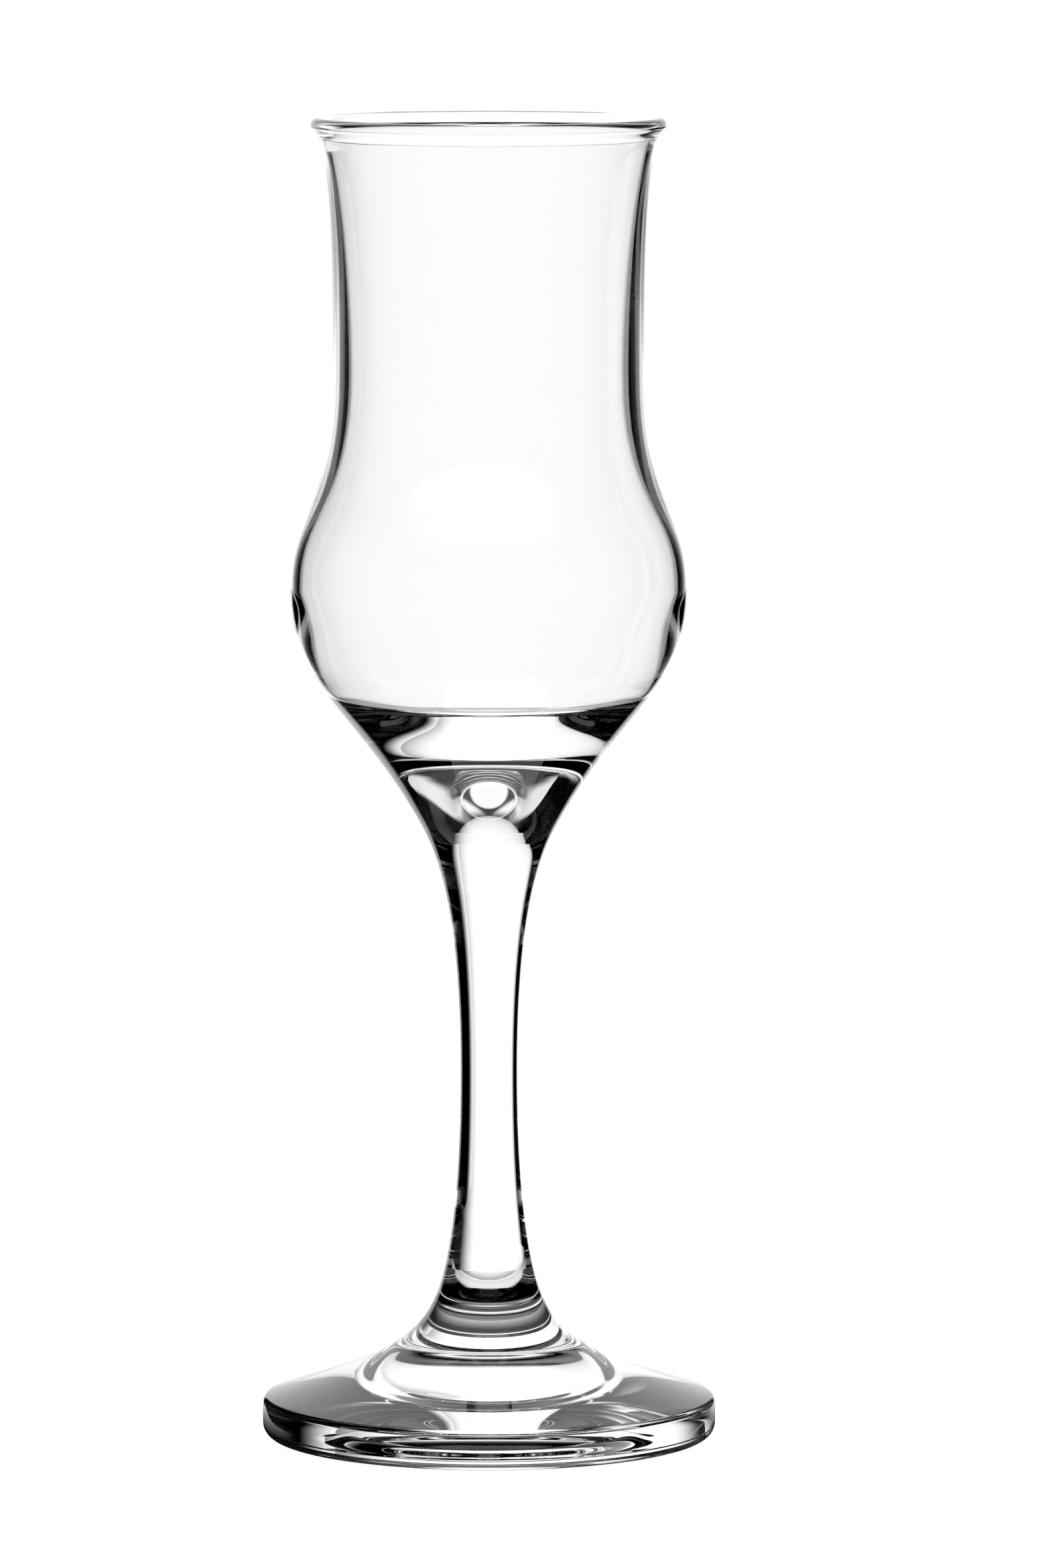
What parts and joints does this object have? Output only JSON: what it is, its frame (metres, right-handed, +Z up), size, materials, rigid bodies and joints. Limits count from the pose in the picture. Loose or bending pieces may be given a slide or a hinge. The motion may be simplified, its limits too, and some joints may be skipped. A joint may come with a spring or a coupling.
{
  "type": "grappa glass",
  "caption": "Clear stemmed grappa glass: tulip bowl with a round belly, narrow neck and flared rounded rim, fused to a slim drawn stem and a wide flared foot.",
  "frame": {"origin": "centre of the foot's underside, on the plane that the glass stands on", "axes": "+Z up along the glass's axis of revolution; X and Y may point anywhere, because the glass is round"},
  "size_m": [0.0584, 0.0584, 0.17],
  "materials": {
    "clear_glass": "clear colourless soda-lime glass, fire-polished and glossy"
  },
  "bodies": {
    "root": {"bowl": "clear_glass", "stem": "clear_glass", "foot": "clear_glass"}
  },
  "joints": []
}
